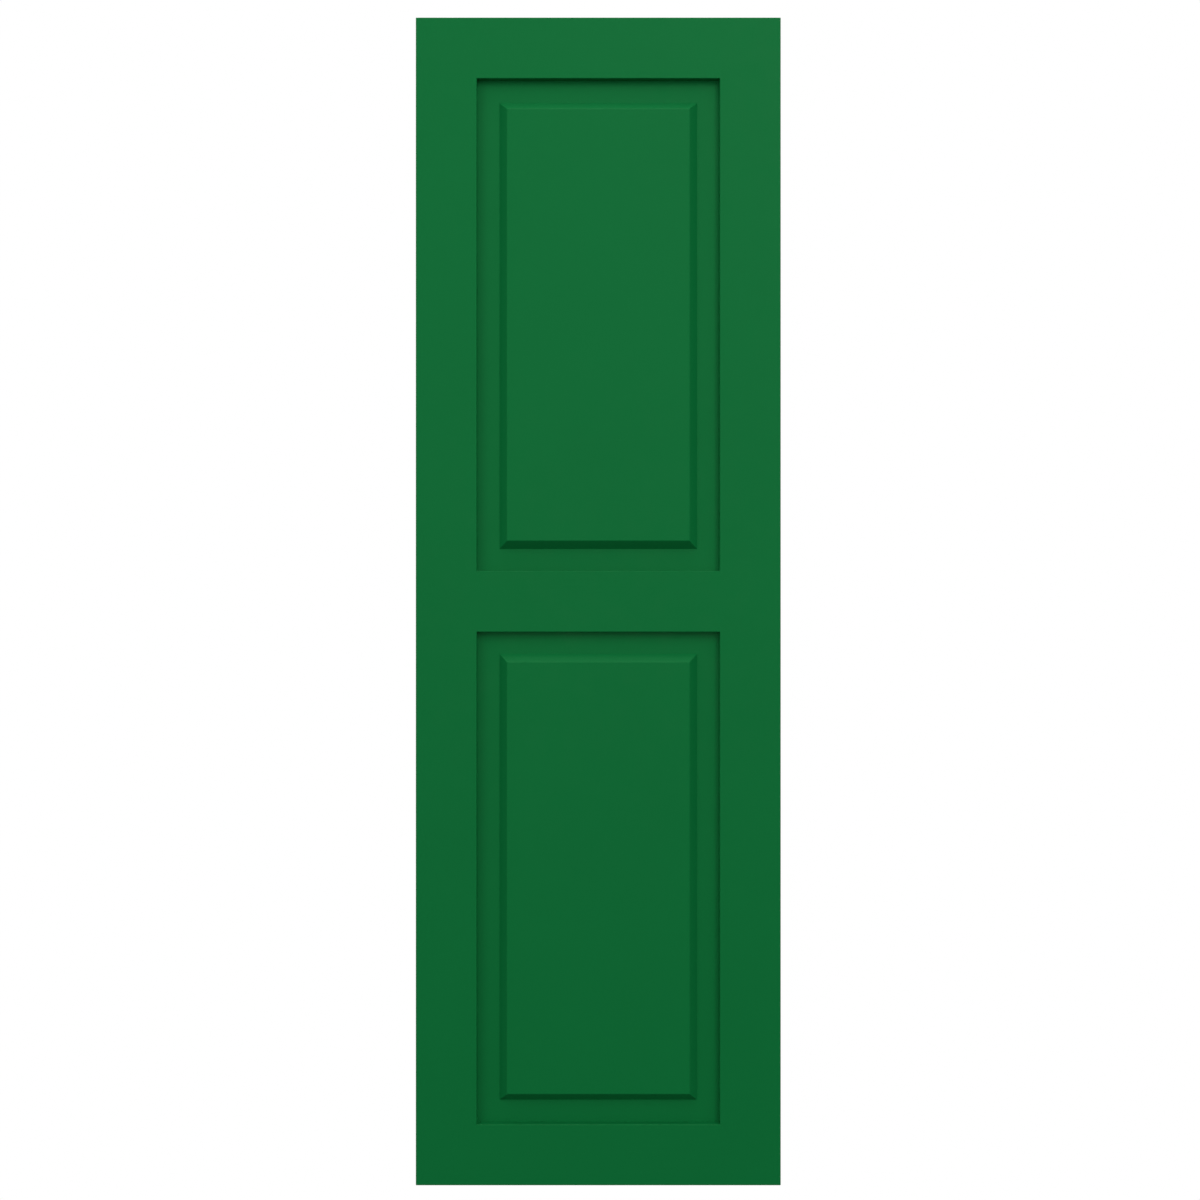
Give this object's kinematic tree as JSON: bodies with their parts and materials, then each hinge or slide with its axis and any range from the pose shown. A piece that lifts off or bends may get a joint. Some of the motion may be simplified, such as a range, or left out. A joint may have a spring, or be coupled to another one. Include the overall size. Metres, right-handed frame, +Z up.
{
  "type": "raised panel shutter",
  "caption": "Tall flat window shutter: a grooved frame of stiles and rails round floating panels with raised, bevelled fields.",
  "frame": {"origin": "middle of the frame's back face, the face that lies against the wall", "axes": "+Z up along the stiles, +X to the right as seen from the front, +Y out of the back into the wall"},
  "size_m": [0.381, 0.0254, 1.2192],
  "materials": {
    "frame": "satin green paint",
    "panel": "satin green paint"
  },
  "bodies": {
    "root": {"left_stile": "frame", "right_stile": "frame", "top_rail": "frame", "middle_rail": "frame", "bottom_rail": "frame", "upper_panel": "panel", "lower_panel": "panel"}
  },
  "joints": []
}
